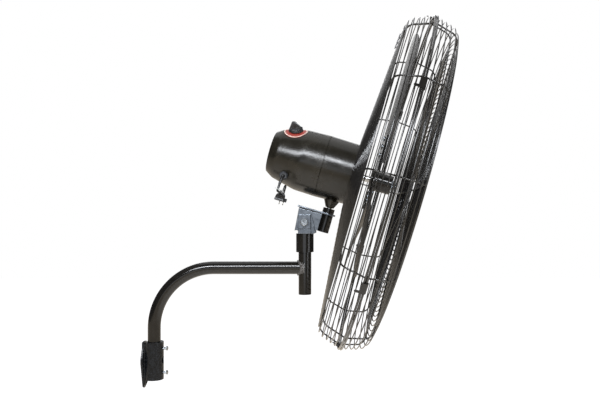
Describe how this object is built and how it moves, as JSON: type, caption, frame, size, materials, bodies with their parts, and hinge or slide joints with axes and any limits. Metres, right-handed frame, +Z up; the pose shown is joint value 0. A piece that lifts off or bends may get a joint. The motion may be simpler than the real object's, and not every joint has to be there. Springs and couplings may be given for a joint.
{
  "type": "wall mounted fan",
  "caption": "Wall mounted industrial fan: wire-guarded round head on a tilting yoke and a bent tube arm held in a cast wall socket.",
  "frame": {"origin": "centre of the wall bracket's back face, on the wall", "axes": "+X out of the wall towards the blowing side, +Z up, +Y to the fan's left as seen from the front"},
  "size_m": [0.7715, 0.846, 0.9213],
  "materials": {
    "cast_black": "satin",
    "black_paint": "gloss",
    "zinc": "satin",
    "stud_steel": "satin",
    "motor_steel": "satin",
    "winding_copper": "satin",
    "black_plastic": "matt",
    "red_dial": "satin",
    "cord_rubber": "matt",
    "white_tie": "satin",
    "pin_brass": "satin",
    "guard_wire": "gloss",
    "blade_paint": "satin"
  },
  "bodies": {
    "wall_bracket": {"wall_bracket": "cast_black", "socket_set_bolts": "zinc"},
    "arm": {"gooseneck_tube": "black_paint", "arm_post": "black_paint", "arm_weld": "black_paint"},
    "yoke": {"swivel_collar": "black_paint", "collar_bolt": "zinc", "tilt_yoke": "black_paint", "tilt_bolt": "stud_steel", "tilt_washers": "zinc", "tilt_nut": "zinc"},
    "tilt_bracket": {"tilt_bracket": "black_paint", "pivot_tube": "black_paint"},
    "head": {"pivot_stud": "stud_steel", "stud_boss": "black_paint", "rear_motor_shell": "black_paint", "front_motor_shell": "black_paint", "front_end_shield": "black_paint", "rear_end_shield": "black_paint", "motor_front_screws": "zinc", "stator_core": "motor_steel", "stator_windings": "winding_copper", "bearing_outer_races": "stud_steel", "bearing_balls": "stud_steel", "dial_plate": "red_dial", "speed_switch": "black_plastic", "cord_gland": "black_plastic", "strain_relief": "cord_rubber", "power_cord": "cord_rubber", "cord_tie": "white_tie", "plug_body": "cord_rubber", "plug_pins": "pin_brass", "rear_guard_rim": "guard_wire", "rear_guard_ribs": "guard_wire", "rear_guard_band_rings": "guard_wire", "rear_guard_face_rings": "guard_wire", "front_guard_rim": "guard_wire", "front_guard_ribs": "guard_wire", "front_guard_band_rings": "guard_wire", "front_guard_face_rings": "guard_wire", "guard_mounting_plate": "black_paint", "centre_badge": "black_paint", "rib_strip": "guard_wire"},
    "fan": {"bearing_inner_races": "stud_steel", "rotor": "motor_steel", "fan_shaft": "stud_steel", "fan_hub": "blade_paint", "hub_spider": "blade_paint", "fan_blade_1": "blade_paint", "fan_blade_2": "blade_paint", "fan_blade_3": "blade_paint", "blade_rivets": "zinc", "shaft_nut": "zinc"},
    "knob": {"control_knob": "black_plastic"},
    "latch_1": {"guard_latch_1": "guard_wire"},
    "latch_2": {"guard_latch_2": "guard_wire"},
    "latch_3": {"guard_latch_3": "guard_wire"},
    "latch_4": {"guard_latch_4": "guard_wire"},
    "latch_5": {"guard_latch_5": "guard_wire"},
    "latch_6": {"guard_latch_6": "guard_wire"}
  },
  "joints": [
    {"name": "arm_swing", "type": "hinge", "parent": "wall_bracket", "child": "arm", "pos_m": [0.02725, 0, 0], "axis": [0, 0, 1], "range_deg": [-50, 50]},
    {"name": "head_pan", "type": "hinge", "parent": "arm", "child": "yoke", "pos_m": [0.404, 0, 0.3], "axis": [0, 0, 1], "range_deg": [-50, 50]},
    {"name": "head_tilt", "type": "hinge", "parent": "yoke", "child": "tilt_bracket", "pos_m": [0.404, 0, 0.3545], "axis": [0, 1, 0], "range_deg": [-16, 8]},
    {"name": "head_swivel", "type": "hinge", "parent": "tilt_bracket", "child": "head", "pos_m": [0.4569, 0, 0.36014], "axis": [0.2756, 0, 0.9613], "range_deg": [-30, 30]},
    {"name": "fan_spin", "type": "hinge", "parent": "head", "child": "fan", "pos_m": [0.60525, 0, 0.44867], "axis": [0.9613, 0, -0.2756], "continuous": true},
    {"name": "knob_turn", "type": "hinge", "parent": "head", "child": "knob", "pos_m": [0.384, -0.03033, 0.5768], "axis": [0.0134, -0.4259, 0.9047], "range_deg": [0, 135]},
    {"name": "latch_1_turn", "type": "hinge", "parent": "head", "child": "latch_1", "pos_m": [0.72356, -0.02127, 0.85164], "axis": [0.0139, 0.9987, 0.0486], "range_deg": [0, 48]},
    {"name": "latch_2_turn", "type": "hinge", "parent": "head", "child": "latch_2", "pos_m": [0.6606, -0.37433, 0.63208], "axis": [0.2454, 0.4555, 0.8557], "range_deg": [0, 48]},
    {"name": "latch_3_turn", "type": "hinge", "parent": "head", "child": "latch_3", "pos_m": [0.54485, -0.35306, 0.22839], "axis": [0.2314, -0.5432, 0.8071], "range_deg": [0, 48]},
    {"name": "latch_4_turn", "type": "hinge", "parent": "head", "child": "latch_4", "pos_m": [0.49205, 0.02127, 0.04425], "axis": [-0.0139, -0.9987, -0.0486], "range_deg": [0, 48]},
    {"name": "latch_5_turn", "type": "hinge", "parent": "head", "child": "latch_5", "pos_m": [0.555, 0.37433, 0.26381], "axis": [-0.2454, -0.4555, -0.8557], "range_deg": [0, 48]},
    {"name": "latch_6_turn", "type": "hinge", "parent": "head", "child": "latch_6", "pos_m": [0.67076, 0.35306, 0.6675], "axis": [-0.2314, 0.5432, -0.8071], "range_deg": [0, 48]}
  ]
}
